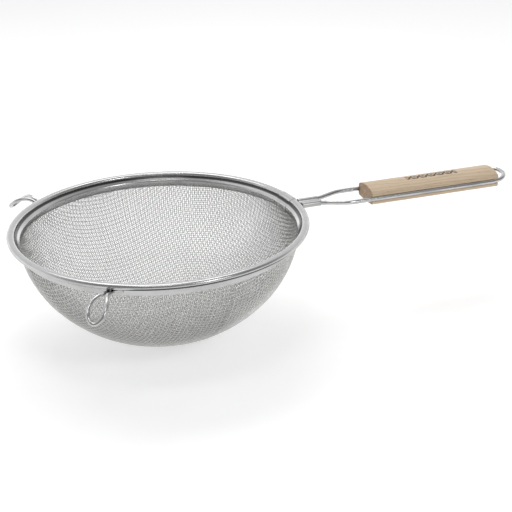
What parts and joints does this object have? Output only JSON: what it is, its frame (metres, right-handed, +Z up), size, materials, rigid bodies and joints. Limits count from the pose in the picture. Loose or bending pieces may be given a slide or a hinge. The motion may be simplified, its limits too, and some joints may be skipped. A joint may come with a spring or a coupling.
{
  "type": "double mesh strainer",
  "caption": "Round bowl strainer of double woven wire cloth with a rolled rim, wire pot hooks and a wooden grip on a bent wire handle with a hanging loop.",
  "frame": {"origin": "lowest point of the bowl, on the bowl's axis", "axes": "+Z up along the bowl's axis, +X along the handle towards its hanging loop"},
  "size_m": [0.4668, 0.2702, 0.112],
  "materials": {
    "fine_cloth": "fine woven stainless wire cloth",
    "coarse_cloth": "coarser woven stainless wire cloth",
    "strip": "polished sheet steel",
    "wire": "bright drawn wire",
    "weld": "bare weld metal",
    "grip_wood": "unvarnished pale hardwood"
  },
  "bodies": {
    "root": {"inner_cloth": "fine_cloth", "outer_cloth": "coarse_cloth", "rim_hoop": "wire", "rim_strip": "strip", "lap_spot_welds": "weld", "hook_front": "wire", "hook_rear": "wire", "hook_welds": "weld", "handle_wire": "wire", "handle_sleeve": "strip", "handle_weld": "weld", "handle_grip": "grip_wood"}
  },
  "joints": []
}
